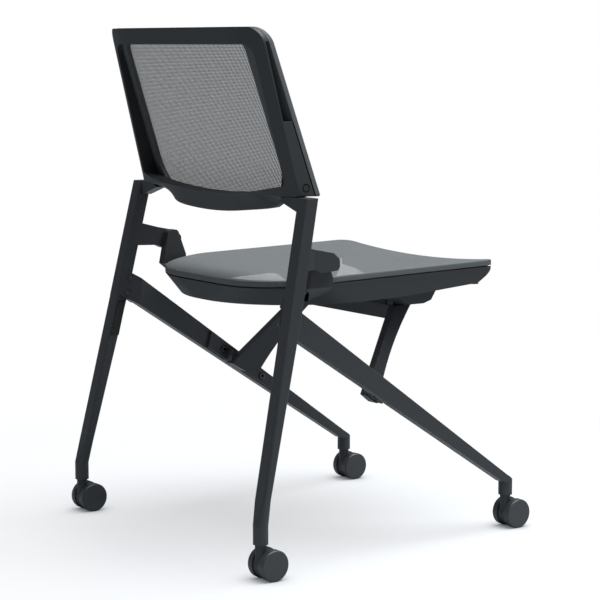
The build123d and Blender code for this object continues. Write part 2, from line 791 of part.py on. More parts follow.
with BuildPart() as seat_frame:
    with BuildSketch():
        add(seat_plan(0, seat_rear_radius))
        add(seat_plan(seat_ring_width, pan_rear_radius), mode=Mode.SUBTRACT)
    extrude(amount=seat_ceiling)
    with BuildSketch(Plane.YZ):
        with BuildLine():
            Polyline(
                (seat_rear_y, pan_rear_bottom),
                (rib_rear_y, pan_middle_bottom),
                (nose_rear_y, pan_nose_bottom),
                (nose_front_y, pan_nose_bottom + pan_nose_rise),
                (seat_front_y, seat_front_height - frame_drop),
                (seat_front_y, seat_ceiling),
                (seat_rear_y, seat_ceiling),
                close=True,
            )
        make_face()
    extrude(amount=seat_half_width, both=True, mode=Mode.INTERSECT)
    add(below_seat(frame_drop), mode=Mode.INTERSECT)
    add(pan_space.part, mode=Mode.INTERSECT)
    add(front_tongue.part)
    with BuildSketch(Plane.XZ.offset(-apron_rear_y)):
        with BuildLine():
            Polyline(
                (-apron_half_width, apron_top + apron_overlap),
                (-apron_half_width, pan_nose_bottom - apron_end_drop),
                (-apron_flat_half_width, pan_nose_bottom - apron_drop),
                (apron_flat_half_width, pan_nose_bottom - apron_drop),
                (apron_half_width, pan_nose_bottom - apron_end_drop),
                (apron_half_width, apron_top + apron_overlap),
                close=True,
            )
        make_face()
    extrude(amount=apron_thickness + apron_overlap)
    with BuildSketch(Plane.YZ.offset(rib_inner_x)):
        with BuildLine():
            Polyline(
                (rib_rear_y, pan_middle_bottom + rib_thickness),
                (rib_rear_y, pan_middle_bottom),
                (rib_front_y, rib_front_low),
                (rib_front_y, rib_front_low + rib_thickness),
                close=True,
            )
        make_face()
    extrude(amount=seat_half_width - seat_ring_width / 2 - rib_inner_x)
    with BuildSketch(Plane.YZ.offset(rib_inner_x)):
        with BuildLine():
            Polyline(
                (rib_rear_y, pan_middle_bottom),
                (rib_rear_y - 2 * rib_bulge_slope, rib_bottom),
                (rib_front_y + 2 * rib_bulge_slope, rib_bottom),
                (rib_front_y + rib_bulge_slope, rib_bottom + rest_pad_height),
                (rib_front_y, rib_front_low),
                close=True,
            )
        make_face()
    extrude(amount=rib_bulge_half_width - rib_inner_x)
    with BuildSketch(Plane.YZ.offset(ear_inner_x)):
        with BuildLine():
            Polyline(
                (ear_rear_y, ear_shoulder),
                (pivot_y + ear_rear_reach / 2, pivot_height + arm_top_rise),
                (pivot_y - ear_crown_radius, pivot_height + arm_top_rise),
                (ear_front_y, ear_shoulder + ear_thickness),
                (ear_front_y, ear_shoulder),
                close=True,
            )
        make_face()
        fillet(vertices().group_by(Axis.Y)[-1], ear_crown_radius)
    extrude(amount=ear_thickness)
    with BuildSketch(Plane.XY.offset(ear_shoulder)):
        with Locations((ear_middle_x, (ear_front_y + ear_rear_y) / 2)):
            Rectangle(ear_thickness, ear_rear_y - ear_front_y)
    with BuildSketch(Plane.XY.offset(pan_rear_bottom + ear_foot_rise)):
        with Locations((ear_middle_x - ear_foot_inset, (ear_front_y + ear_foot_rear_y) / 2)):
            Rectangle(ear_thickness, ear_foot_rear_y - ear_front_y)
    loft(ruled=True)
    add(bush_space(0), mode=Mode.SUBTRACT)
    split(bisect_by=Plane.YZ, keep=Keep.TOP)
    mirror(about=Plane.YZ)
    for place in screw_places:
        add(
            seat_screw(place, seat_screw_shank + 2 * bolt_clearance, seat_screw_head + 1, seat_screw_length),
            mode=Mode.SUBTRACT,
        )
save(seat_frame, "seat_frame")

with BuildPart() as shadow_gap_space:
    with BuildSketch():
        add(seat_plan(-1, seat_rear_radius))
        add(seat_plan(shadow_gap_depth, seat_rear_radius), mode=Mode.SUBTRACT)
    extrude(amount=seat_ceiling)
    add(below_seat(frame_drop - shadow_gap), mode=Mode.INTERSECT)

with BuildPart() as seat_carrier:
    with BuildSketch():
        add(seat_plan(0, seat_rear_radius))
        add(seat_plan(seat_carrier_width, seat_rear_radius), mode=Mode.SUBTRACT)
    extrude(amount=seat_ceiling)
    add(below_seat(seat_mesh_thickness), mode=Mode.INTERSECT)
    add(below_seat(frame_drop), mode=Mode.SUBTRACT)
    add(shadow_gap_space.part, mode=Mode.SUBTRACT)
    for place in screw_places:
        add(seat_screw(place, seat_screw_shank + 2 * bolt_clearance, seat_screw_head, 1), mode=Mode.SUBTRACT)
save(seat_carrier, "seat_carrier")

with BuildPart() as seat_screws:
    for place in screw_places:
        add(seat_screw(place, seat_screw_shank, seat_screw_head, seat_screw_head_height))
save(seat_screws, "seat_screws")

# The mesh is a plain thin sheet here, lying on its carrier
with BuildPart() as seat_mesh:
    with BuildSketch():
        add(seat_plan(0, seat_rear_radius))
    extrude(amount=seat_ceiling)
    add(below_seat(0), mode=Mode.INTERSECT)
    add(below_seat(seat_mesh_thickness), mode=Mode.SUBTRACT)
save(seat_mesh, "seat_mesh")

# Backrest
back_opening_top = back_top_height - back_opening_top_inset
back_opening_bottom = back_base - back_opening_drop
back_slot_top = back_top_height - back_slot_inset
back_slot_bottom = back_slot_top - back_slot_length
back_room = 60.0
back_reach = back_top_height - back_base + 2 * back_room
rear_angle = atan2(back_rear_slope, 1)
front_angle = atan2(back_front_slope, 1)
rear_plane = Plane(
    origin=(0, back_rear_y - back_room * back_rear_slope, back_base - back_room),
    x_dir=(1, 0, 0),
    z_dir=(0, sin(rear_angle), cos(rear_angle)),
)
front_plane_back = Plane(
    origin=(0, back_front_y - back_room * back_front_slope, back_base - back_room),
    x_dir=(1, 0, 0),
    z_dir=(0, sin(front_angle), cos(front_angle)),
)


def bowed_slab(plane, front, rear):
    """A slab that is flat in the middle and wraps forward at its sides, behind a leaning plane."""
    half = back_bottom_half_width + 10
    fall = back_wrap_radius - sqrt(back_wrap_radius**2 - (half - back_flat_half_width) ** 2)
    with BuildPart() as slab:
        with BuildSketch(plane):
            with BuildLine():
                for depth in (front, rear):
                    Line((-back_flat_half_width, depth), (back_flat_half_width, depth))
                    for way in (-1, 1):
                        TangentArc(
                            (way * back_flat_half_width, depth), (way * half, depth - fall), tangent=(way, 0)
                        )
                Line((-half, front - fall), (-half, rear - fall))
                Line((half, front - fall), (half, rear - fall))
            make_face()
        extrude(amount=back_reach)
    return slab.part


def back_outline():
    """Outer outline of the back, seen from the front."""
    with BuildSketch(Plane.XZ) as outline:
        with BuildLine():
            rail = ThreePointArc(
                (back_flat_half_width, back_base - back_rail_drop + back_curve_rise),
                (0, back_base - back_rail_drop),
                (-back_flat_half_width, back_base - back_rail_drop + back_curve_rise),
            )
            Polyline(
                rail @ 1,
                (-back_rail_end_x, back_base - back_rail_drop + back_rail_end_rise),
                (-shoulder_x, back_base),
                (-back_bottom_half_width, back_base),
                (-back_top_half_width, back_top_height),
                (back_top_half_width, back_top_height),
                (back_bottom_half_width, back_base),
                (shoulder_x, back_base),
                (back_rail_end_x, back_base - back_rail_drop + back_rail_end_rise),
                rail @ 0,
            )
        make_face()
        fillet(outline.vertices().group_by(Axis.Y)[-1], back_corner_radius)
        fillet(outline.vertices().group_by(Axis.X)[0], bar_edge_radius)
        fillet(outline.vertices().group_by(Axis.X)[-1], bar_edge_radius)
    return outline.sketch


def back_opening(side, end, rise, lower_radius):
    """The window of the back, seen from the front, narrowed at its sides and heightened at its ends."""
    top_x = back_opening_top_half_width - side
    bottom_x = back_opening_bottom_half_width - side
    sill = back_opening_bottom - end
    with BuildSketch(Plane.XZ) as window:
        with BuildLine():
            curve = ThreePointArc(
                (back_flat_half_width, sill + rise),
                (0, sill),
                (-back_flat_half_width, sill + rise),
            )
            Polyline(
                curve @ 1,
                (-bottom_x, sill + back_opening_corner_rise),
                (-top_x, back_opening_top + end),
                (top_x, back_opening_top + end),
                (bottom_x, sill + back_opening_corner_rise),
                curve @ 0,
            )
        make_face()
        fillet(window.vertices().group_by(Axis.Y)[-1], back_opening_top_radius)
        fillet(window.vertices().group_by(Axis.X)[0], lower_radius)
        fillet(window.vertices().group_by(Axis.X)[-1], lower_radius)
    return window.sketch


def back_screw_hole(diameter, length):
    """A round space inward from the seat of the left back screw's head."""
    with BuildPart() as hole:
        with BuildSketch(Plane.YZ.offset(back_screw_seat_x)):
            with Locations((spigot_y, back_screw_height)):
                Circle(diameter / 2)
        extrude(amount=-length)
    return hole.part


edge_wrap = back_top_half_width - back_flat_half_width
edge_fall = back_wrap_radius - sqrt(back_wrap_radius**2 - edge_wrap**2)


def carrier_rear_y(height):
    """Where the rear of the mesh carrier lies near its outer edge."""
    return back_front_y + back_front_slope * (height - back_base) + back_carrier_depth - edge_fall


def frame_rear_y(height):
    """Where the rear of the back frame lies near its outer edge."""
    return back_rear_y + back_rear_slope * (height - back_base) - edge_fall


deep = 2 * back_top_height
with BuildPart() as back_frame:
    add(bowed_slab(rear_plane, -4 * back_room, 0))
    add(bowed_slab(front_plane_back, back_carrier_depth, 4 * back_room), mode=Mode.INTERSECT)
    extrude(back_outline(), amount=deep, both=True, mode=Mode.INTERSECT)
    window = back_opening(0, 0, back_opening_rise, back_opening_radius)
    extrude(window, amount=deep, both=True, mode=Mode.SUBTRACT)
    with BuildSketch(Plane.XY.offset(back_base)):
        with Locations((spigot_x, spigot_y)):
            Rectangle(spigot_width + 2 * bolt_clearance, spigot_depth + 2 * bolt_clearance)
    extrude(amount=spigot_height, mode=Mode.SUBTRACT)
    for drop, hollow in ((-back_split_gap, back_split_gap), (back_rail_drop, back_rail_hollow)):
        turn_y = back_rear_y - back_rear_slope * drop
        with BuildSketch(Plane.XY.offset(back_base - drop)):
            with BuildLine():
                edge = TangentArc(
                    (back_rail_turn_x, turn_y), (back_rail_end_x, turn_y - hollow), tangent=(1, 0)
                )
                Polyline(
                    edge @ 1,
                    (edge @ 1) + 2 * back_corner_radius * (edge % 1),
                    (head_x, 2 * back_rear_y),
                    (back_rail_turn_x, 2 * back_rear_y),
                    edge @ 0,
                )
            make_face()
    loft(ruled=True, mode=Mode.SUBTRACT)
    with BuildSketch(Plane.YZ.offset(back_top_half_width - back_slot_reach)):
        with BuildLine():
            Polyline(
                (carrier_rear_y(back_slot_top) - back_slot_reach, back_slot_top),
                (carrier_rear_y(back_slot_top) + back_slot_top_width, back_slot_top),
                (frame_rear_y(back_slot_bottom) - back_slot_lip, back_slot_bottom),
                (carrier_rear_y(back_slot_bottom) - back_slot_reach, back_slot_bottom),
                close=True,
            )
        make_face()
    extrude(amount=head_x, mode=Mode.SUBTRACT)
    add(back_screw_hole(back_screw_shank + 2 * bolt_clearance, back_screw_length), mode=Mode.SUBTRACT)
    add(back_screw_hole(back_cap_diameter + 2 * bolt_clearance, -back_screw_length), mode=Mode.SUBTRACT)
    split(bisect_by=Plane.YZ, keep=Keep.TOP)
    mirror(about=Plane.YZ)
save(back_frame, "back_frame")

with BuildPart() as back_screws:
    add(back_screw_hole(back_screw_shank, back_screw_length))
    add(back_screw_hole(back_screw_head, -back_screw_head_height))
    mirror(about=Plane.YZ)
save(back_screws, "back_screws")

with BuildPart() as back_screw_caps:
    with BuildSketch(Plane.YZ.offset(back_screw_seat_x + back_screw_head_height)):
        with Locations((spigot_y, back_screw_height)):
            Circle(back_cap_diameter / 2)
    extrude(amount=back_cap_height)
    mirror(about=Plane.YZ)
save(back_screw_caps, "back_screw_caps")

with BuildPart() as back_carrier:
    add(bowed_slab(front_plane_back, 0, back_carrier_depth))
    extrude(back_outline(), amount=deep, both=True, mode=Mode.INTERSECT)
    extrude(
        back_opening(back_carrier_side, back_carrier_end, back_carrier_rise, back_carrier_radius),
        amount=deep,
        both=True,
        mode=Mode.SUBTRACT,
    )
save(back_carrier, "back_carrier")

with BuildPart() as back_mesh:
    add(bowed_slab(front_plane_back, -back_mesh_thickness, 0))
    extrude(back_outline(), amount=deep, both=True, mode=Mode.INTERSECT)
save(back_mesh, "back_mesh")

# Casters
axle_height = wheel_diameter / 2
collar_top = foot_height - collar_gap
wheel_inner = caster_housing_width / 2 + wheel_side_gap
axle_reach = wheel_inner + wheel_width - wheel_skin
for name, (x, y) in feet.items():
    axle_y = y - caster_trail
    with BuildPart() as housing:
        with BuildSketch(Plane.YZ.offset(x - caster_housing_width / 2)):
            with Locations((axle_y, axle_height)):
                Circle(caster_housing_diameter / 2)
                Circle(axle_diameter / 2, mode=Mode.SUBTRACT)
        extrude(amount=caster_housing_width)
        with BuildSketch(Plane.XY.offset(axle_height + axle_diameter)):
            with Locations((x, y)):
                Circle(caster_neck_diameter / 2)
        extrude(amount=collar_top - axle_height - axle_diameter)
        with BuildSketch(Plane.XY.offset(axle_height + stem_seat)):
            with Locations((x, y)):
                Circle(stem_diameter / 2)
        extrude(amount=foot_height, mode=Mode.SUBTRACT)
    save(housing, f"caster_{name}_housing")
    with BuildPart() as stem:
        with BuildSketch(Plane.XY.offset(axle_height + stem_seat)):
            with Locations((x, y)):
                Circle(stem_diameter / 2)
        extrude(amount=foot_height + stem_length - axle_height - stem_seat)
    save(stem, f"caster_{name}_stem")
    with BuildPart() as axle:
        with BuildSketch(Plane.YZ.offset(x)):
            with Locations((axle_y, axle_height)):
                Circle(axle_diameter / 2)
        extrude(amount=axle_reach - wheel_side_gap, both=True)
    save(axle, f"caster_{name}_axle")
    for side, direction in (("inner", -1), ("outer", 1)):
        outward = direction if x > 0 else -direction
        with BuildPart() as wheel:
            with BuildSketch(Plane.YZ.offset(x + outward * wheel_inner)):
                with Locations((axle_y, axle_height)):
                    Circle(wheel_diameter / 2)
            extrude(amount=outward * wheel_width)
            chamfer(edges().group_by(Axis.X)[-1 if outward > 0 else 0], wheel_bevel)
            with BuildSketch(Plane.YZ.offset(x + outward * wheel_inner)):
                with Locations((axle_y, axle_height)):
                    Circle(axle_diameter / 2 + running_clearance)
            extrude(amount=outward * (wheel_width - wheel_skin), mode=Mode.SUBTRACT)
        save(wheel, f"caster_{name}_wheel_{side}")
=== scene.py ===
# %% [markdown]
# # A conference chair with a flip-up mesh seat
#
# The chair's construction comes ready made: solid parts with joints, all in one frame, in metres, with
# the floor at Z = 0 and the sitter facing -Y. This lesson gives that construction its looks. It paints
# every part with the finish it has on a real chair, knits the two stretched mesh panels, adds the small
# dark details that show how the chair is put together, painted near black as the shade in its seams,
# sockets and slots, and takes the studio picture.

# %% Load the construction
import json
import math

import bmesh
import bpy
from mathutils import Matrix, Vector


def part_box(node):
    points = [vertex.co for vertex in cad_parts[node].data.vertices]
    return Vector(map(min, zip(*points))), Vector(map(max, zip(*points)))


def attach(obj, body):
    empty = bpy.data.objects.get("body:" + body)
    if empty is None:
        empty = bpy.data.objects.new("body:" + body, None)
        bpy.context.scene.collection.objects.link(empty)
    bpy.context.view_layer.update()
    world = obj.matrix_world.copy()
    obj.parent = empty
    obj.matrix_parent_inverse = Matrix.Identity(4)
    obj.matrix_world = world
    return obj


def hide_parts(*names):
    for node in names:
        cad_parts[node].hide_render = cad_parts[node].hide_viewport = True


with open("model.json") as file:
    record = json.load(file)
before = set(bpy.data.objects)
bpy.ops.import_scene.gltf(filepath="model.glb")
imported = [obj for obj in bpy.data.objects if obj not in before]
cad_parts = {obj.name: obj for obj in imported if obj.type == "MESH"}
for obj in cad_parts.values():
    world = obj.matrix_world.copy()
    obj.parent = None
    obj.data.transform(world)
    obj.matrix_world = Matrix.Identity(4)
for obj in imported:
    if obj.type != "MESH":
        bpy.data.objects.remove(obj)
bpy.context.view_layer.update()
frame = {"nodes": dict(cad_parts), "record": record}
nodes = frame["nodes"]

# %% [markdown]
# ## Helpers for materials
#
# Colours are easiest to give as the hex codes that a paint chart or a picture editor shows. Those codes
# are sRGB, while Blender's nodes work with linear light, so one function turns the first into the second.
# Another adds a node, sets its options and joins its sockets, so that each material below reads as a list
# of its layers.

# %% Colour and node helpers
def linear(code):
    """The linear RGBA colour of an sRGB hex code such as #808080."""
    channels = [int(code[start:start + 2], 16) / 255 for start in (1, 3, 5)]
    return [c / 12.92 if c <= 0.04045 else ((c + 0.055) / 1.055) ** 2.4 for c in channels] + [1.0]


def add_node(tree, kind, sockets, **options):
    """Adds a node, sets its options, and fills its sockets with values or with other nodes' outputs."""
    node = tree.nodes.new(kind)
    for name, value in options.items():
        setattr(node, name, value)
    for name, value in sockets.items():
        if isinstance(value, bpy.types.NodeSocket):
            tree.links.new(value, node.inputs[name])
        else:
            node.inputs[name].default_value = value
    return node


def new_material(name):
    """A new material with its node tree and its Principled shader."""
    material = bpy.data.materials.new(name)
    material.use_nodes = True
    return material, material.node_tree, material.node_tree.nodes["Principled BSDF"]


print("a mid grey of #808080 is", round(linear("#808080")[0], 3), "in linear light")

# %% [markdown]
# ## The hard finishes
#
# All the hard parts of this chair are near black, so what tells them apart is their gloss and their
# grain. Powder paint on the metal legs flows out in the oven to a satin skin with a slight orange peel.
# Moulded nylon copies the fine spark-eroded grain of its steel mould, so it scatters light and looks
# greyer. Each finish is a Noise texture whose size is that of the real grain, and the same noise drives a
# little of the colour, of the gloss and of the relief, as it does on a real surface. A Bevel node softens
# the edges in the shading, since paint and moulds leave none of them quite sharp.

# %% Grained finishes
edge_radius = 0.001  # the sharpest edge that paint and moulds leave


def grained(name, dark, light, grain, gloss, relief, **constants):
    """A finish with an even grain: two shades, grain size, range of roughness, depth of relief."""
    material, tree, shader = new_material(name)
    place = add_node(tree, "ShaderNodeTexCoord", {})
    noise = add_node(
        tree,
        "ShaderNodeTexNoise",
        {"Vector": place.outputs["Object"], "Scale": 1 / grain, "Detail": 3.0},
    )
    shade = add_node(tree, "ShaderNodeValToRGB", {"Fac": noise.outputs["Fac"]})
    shade.color_ramp.elements[0].color = linear(dark)
    shade.color_ramp.elements[1].color = linear(light)
    rough = add_node(
        tree,
        "ShaderNodeMapRange",
        {"Value": noise.outputs["Fac"], "To Min": gloss[0], "To Max": gloss[1]},
    )
    edge = add_node(tree, "ShaderNodeBevel", {"Radius": edge_radius}, samples=6)
    bump = add_node(
        tree,
        "ShaderNodeBump",
        {"Height": noise.outputs["Fac"], "Distance": relief, "Normal": edge.outputs["Normal"]},
    )
    tree.links.new(shade.outputs["Color"], shader.inputs["Base Color"])
    tree.links.new(rough.outputs["Result"], shader.inputs["Roughness"])
    tree.links.new(bump.outputs["Normal"], shader.inputs["Normal"])
    for socket, value in constants.items():
        shader.inputs[socket.replace("_", " ")].default_value = value
    return material


# Powder coat, baked on: a satin black skin with a slight orange peel that breaks up its highlights.
powder_coat = grained(
    "powder_coat_black", "#2b2e31", "#333538", 0.0015, (0.42, 0.52), 0.00006, IOR=1.5
)
# Glass-filled nylon from a spark-eroded mould: matt, a touch greyer at grazing angles.
nylon = grained("nylon_moulded_black", "#232628", "#2a2d2f", 0.0009, (0.5, 0.62), 0.00004, IOR=1.53)
# The same nylon in a paler shade and with a coarser grain, under the edge of the mesh.
edge_nylon = grained(
    "nylon_moulded_edge", "#3a3e3f", "#454949", 0.0012, (0.55, 0.65), 0.00004, IOR=1.53
)
# Polyamide wheels, moulded smooth: a soft sheen on the discs.
polyamide = grained("polyamide_wheel", "#303336", "#383b3e", 0.0008, (0.38, 0.46), 0.00002, IOR=1.53)
# Rubber cut from sheet: a dull black with hardly a highlight.
rubber = grained("rubber_matt", "#1f2021", "#292a2b", 0.0006, (0.75, 0.85), 0.00003, IOR=1.52)
# Steel fasteners with a black oxide skin: metal that still glints a little.
black_steel = grained(
    "steel_black_oxide", "#4a4b4d", "#57585a", 0.0007, (0.35, 0.45), 0.00001, Metallic=1.0
)
# Painted shade in seams, sockets and slots: near black, as hardly any light comes out of a gap.
painted_gap_shade = grained(
    "painted_gap_shade_black", "#050506", "#09090a", 0.0008, (0.85, 0.95), 0.00001, Specular_IOR_Level=0.0
)
# Acetal bearings, natural white and slippery, hidden in the joints.
acetal = grained("acetal_natural", "#d8d6cf", "#e2e0da", 0.001, (0.3, 0.38), 0.00001, IOR=1.48)

finish_of_slot = {
    "black_paint": powder_coat,
    "black_plastic": nylon,
    "edge_plastic": edge_nylon,
    "knit_mesh": edge_nylon,
    "steel": black_steel,
    "black_rubber": rubber,
    "wheel_plastic": polyamide,
    "bearing_plastic": acetal,
}
for subpart in frame["record"]["subparts"]:
    mesh = nodes[subpart["node"]].data
    mesh.materials.clear()
    mesh.materials.append(finish_of_slot[subpart["material_slot"]])
nodes["leg_joint_bolts"].data.materials[0] = powder_coat  # bolted first, then painted with the legs

# %% [markdown]
# ## The knit
#
# Seat and back are covered with a polyester mesh, warp-knitted on a raschel machine so that rows of small
# holes stand staggered between the yarns. Seen from afar the holes give the panel its see-through grey:
# black behind it makes it darker and a white floor behind it makes it paler. The pattern is drawn in the
# sheet's own flat measure with the product of two cosines, which peaks on a staggered grid. Where it is
# high the cloth opens, softly, because stray filaments fringe each hole. The yarn curves away towards the
# holes, so the same value also shapes the relief.

# %% Knit material
hole_pitch_across = 0.0038  # between neighbouring holes along a row
hole_pitch_along = 0.0046  # between every second row
hole_start, hole_full = 0.22, 0.85  # the pattern's heights where a hole begins and is fully open
yarn_relief = 0.0004


def knitted(name, light, dark, veil):
    """A knit, its yarn lighter between the holes and darker towards them.
    The veil is the share of each hole that stray filaments cover.
    """
    material, tree, shader = new_material(name)
    flat = add_node(tree, "ShaderNodeUVMap", {}, uv_map="flat")
    across_along = add_node(tree, "ShaderNodeSeparateXYZ", {"Vector": flat.outputs["UV"]})
    waves = []
    for axis, pitch in (("X", hole_pitch_across), ("Y", hole_pitch_along)):
        turn = add_node(
            tree,
            "ShaderNodeMath",
            {0: across_along.outputs[axis], 1: 2 * math.pi / pitch},
            operation="MULTIPLY",
        )
        waves.append(add_node(tree, "ShaderNodeMath", {0: turn.outputs[0]}, operation="COSINE"))
    pattern = add_node(
        tree, "ShaderNodeMath", {0: waves[0].outputs[0], 1: waves[1].outputs[0]}, operation="MULTIPLY"
    )
    cover = add_node(
        tree,
        "ShaderNodeMapRange",
        {
            "Value": pattern.outputs[0],
            "From Min": hole_start,
            "From Max": hole_full,
            "To Min": 1.0,
            "To Max": veil,
        },
    )
    # the yarn is lighter between the holes and darker towards them
    yarn = add_node(tree, "ShaderNodeValToRGB", {"Fac": pattern.outputs[0]})
    yarn.color_ramp.elements[0].color = linear(light)
    yarn.color_ramp.elements[1].color = linear(dark)
    relief = add_node(
        tree, "ShaderNodeBump", {"Height": pattern.outputs[0], "Distance": yarn_relief}, invert=True
    )
    tree.links.new(yarn.outputs["Color"], shader.inputs["Base Color"])
    tree.links.new(cover.outputs["Result"], shader.inputs["Alpha"])
    tree.links.new(relief.outputs["Normal"], shader.inputs["Normal"])
    shader.inputs["Roughness"].default_value = 0.7
    shader.inputs["IOR"].default_value = 1.55
    return material


# Polyester mesh: the open holes let the room behind through, and the yarn round them stays matt.
knit = knitted("polyester_mesh_knit", "#6e7375", "#505557", 0.05)
# The same mesh drawn over the edge and welded to its carrier, which closes the holes; its yarn is
# painted darker there as the shade on the edge, which faces sideways.
shaded_knit_edge = knitted("polyester_mesh_edge_painted_shade", "#565b5d", "#404547", 1.0)
print("knit with a hole each", round(1000 * hole_pitch_across, 1), "mm along a row")

# %% [markdown]
# ## Outlines
#
# The panels have straight sides and rounded corners. A rounded corner is an arc that touches both of the
# sides that meet there, so it is enough to give each corner's point and radius. More points along the
# straight sides then let the cloth follow the curve of the seat and of the back.

# %% Outline helpers
arc_steps = 12  # straight pieces in a rounded corner
outline_spacing = 0.012  # the furthest that two points of an outline lie apart


def rounded(corners):
    """An anticlockwise outline through corner points, each (across, along, radius)."""
    outline = []
    for number, (x, y, radius) in enumerate(corners):
        point = Vector((x, y))
        before = (Vector(corners[number - 1][:2]) - point).normalized()
        after = (Vector(corners[(number + 1) % len(corners)][:2]) - point).normalized()
        half = before.angle(after) / 2
        reach = radius / math.tan(half)
        middle = point + (before + after).normalized() * radius / math.sin(half)
        start = point + before * reach - middle
        sweep = start.angle_signed(point + after * reach - middle)
        for step in range(arc_steps + 1):
            turn = -sweep * step / arc_steps
            across = start.x * math.cos(turn) - start.y * math.sin(turn)
            along = start.x * math.sin(turn) + start.y * math.cos(turn)
            outline.append(middle + Vector((across, along)))
    return outline


def evenly(outline):
    """The closed outline with points added so that none lie further apart than the spacing."""
    points = []
    for number, point in enumerate(outline):
        following = outline[(number + 1) % len(outline)]
        pieces = max(1, math.ceil((following - point).length / outline_spacing))
        points += [point.lerp(following, piece / pieces) for piece in range(pieces)]
    return points


print("outlines with points at most", round(1000 * outline_spacing), "mm apart")

# %% [markdown]
# ## A sheet stretched over a rim
#
# Each panel is one cut of cloth pulled tight over a plastic carrier and wrapped round its edge. So both
# are made by one function: it takes the panel's outline on the flat, fills it with ever smaller copies of
# itself down to a centre point, and leads the edge round a small radius and down the carrier's side.
# Every point also keeps the place it had on the flat cloth, and that becomes its UV, so the knit runs on
# over the edge. The rows of faces next to the cut edge get the closed knit, because there the cloth is
# welded to the carrier, and its yarn is painted darker there as the shade on the edge, which faces
# sideways.

# %% Sheet helper
rim_radius = 0.0025  # of the cloth where it turns over the carrier's edge
rim_skin = 0.0004  # the cloth lies this far outside the carrier
rim_depth = 0.0092  # how far the cloth comes down the carrier's side
rim_steps = 6  # straight pieces in the turn over the edge
# these rows also take the knit painted darker as the edge's shade
edge_bands = 4  # rows of faces, from the cut edge inward, that are welded to the carrier
fill_scales = (0.98, 0.94, 0.88, 0.8, 0.7, 0.6, 0.5, 0.4, 0.3, 0.2, 0.1)


def stretched_sheet(name, outline, middle, place):
    """A cloth panel and its area. place puts a flat point, a depth below the face, in space."""
    count = len(outline)
    outward = []
    for number in range(count):
        along = outline[(number + 1) % count] - outline[number - 1]
        outward.append(Vector((along.y, -along.x)).normalized())
    # each ring of the rim: how far outward, how deep, and how far outward on the flat cloth
    rim = [(rim_skin, rim_depth, math.pi * rim_radius / 2 - rim_radius + rim_depth - rim_radius)]
    for step in range(rim_steps, -1, -1):
        turn = math.pi / 2 * step / rim_steps
        out = rim_skin + rim_radius * (math.sin(turn) - 1)
        rim.append((out, rim_radius * (1 - math.cos(turn)), rim_radius * (turn - 1)))
    rings = [
        [(p + n * out, depth, p + n * run) for p, n in zip(outline, outward)] for out, depth, run in rim
    ]
    inner = [point for point, _, _ in rings[-1]]
    for scale in fill_scales:
        rings.append([(middle.lerp(p, scale), 0.0, middle.lerp(p, scale)) for p in inner])
    grid = bmesh.new()
    flat_layer = grid.loops.layers.uv.new("flat")
    flat_of = {}
    rows = []
    for ring in rings:
        row = []
        for point, depth, flat_point in ring:
            vertex = grid.verts.new(place(point, depth))
            flat_of[vertex] = flat_point
            row.append(vertex)
        rows.append(row)
    centre = grid.verts.new(place(middle, 0.0))
    flat_of[centre] = middle
    for band, (outer, inner_row) in enumerate(zip(rows, rows[1:])):
        for number in range(count):
            following = (number + 1) % count
            face = grid.faces.new(
                (outer[number], outer[following], inner_row[following], inner_row[number])
            )
            # the welded rows near the edge get the closed knit with painted shade
            face.material_index = 1 if band < edge_bands else 0
    for number in range(count):
        grid.faces.new((rows[-1][number], rows[-1][(number + 1) % count], centre))
    for face in grid.faces:
        face.smooth = True
        for loop in face.loops:
            loop[flat_layer].uv = flat_of[loop.vert]
    area = sum(face.calc_area() for face in grid.faces)
    mesh = bpy.data.meshes.new(name)
    grid.to_mesh(mesh)
    grid.free()
    mesh.materials.append(knit)
    mesh.materials.append(shaded_knit_edge)
    piece = bpy.data.objects.new(name, mesh)
    bpy.context.scene.collection.objects.link(piece)
    return piece, area


print("the cloth wraps", round(1000 * rim_depth, 1), "mm down the side of its carrier")

# %% [markdown]
# ## The seat panel
#
# The seat rises slightly to its front, where it is also dished the most, and is nearly flat at the rear.
# On the real chair the tension of the cloth between the carrier's sides makes that shape. Three cross
# sections describe it, and the height in between runs straight from one to the next.

# %% Seat panel
seat_low, seat_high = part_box("seat_mesh")
seat_half = seat_high[0]
seat_front_radius = 0.025
seat_rear_radius = 0.145
seat_middle = Vector((0.0, -0.02))
# place along the seat, height of the side edges, depth of the dish
seat_sections = ((-0.260, 0.4635, 0.012), (0.070, 0.456, 0.008), (0.220, 0.447, 0.001))


def on_seat(point, depth):
    """A point of the seat panel, a depth below its face."""
    front, middle, rear = seat_sections
    first, second = (front, middle) if point.y < middle[0] else (middle, rear)
    share = (point.y - first[0]) / (second[0] - first[0])
    height = first[1] + share * (second[1] - first[1])
    dish = first[2] + share * (second[2] - first[2])
    return Vector((point.x, point.y, height - dish * (1 - (point.x / seat_half) ** 2) - depth))


seat_corners = [
    (-seat_half, seat_low[1], seat_front_radius),
    (seat_half, seat_low[1], seat_front_radius),
    (seat_half, seat_high[1], seat_rear_radius),
    (-seat_half, seat_high[1], seat_rear_radius),
]
seat_outline = evenly(rounded(seat_corners))
seat_panel, seat_area = stretched_sheet("seat_knit_panel", seat_outline, seat_middle, on_seat)
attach(seat_panel, "seat")
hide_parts("seat_mesh")

# %% [markdown]
# ## The back panel
#
# The back leans away from the sitter and is flat in the middle, while its two sides wrap forward round the
# sitter. Its lower edge hangs down in the middle and steps up at the sides to clear the heads of the
# uprights. The outline is drawn as seen from the front, and one function leans and bends it.

# %% Back panel
back_slope = 0.328  # how far the face moves rearward for each metre of height
back_cosine = math.cos(math.atan(back_slope))
back_foot_y, back_foot_height = 0.161, 0.588  # a point of the face, at the lower end of its sides
back_foot_half, back_top_half = 0.241, 0.232
back_flat_half = 0.150
back_wrap_radius = 0.200
back_middle = Vector((0.0, 0.71))
cloth_thickness = 0.0015


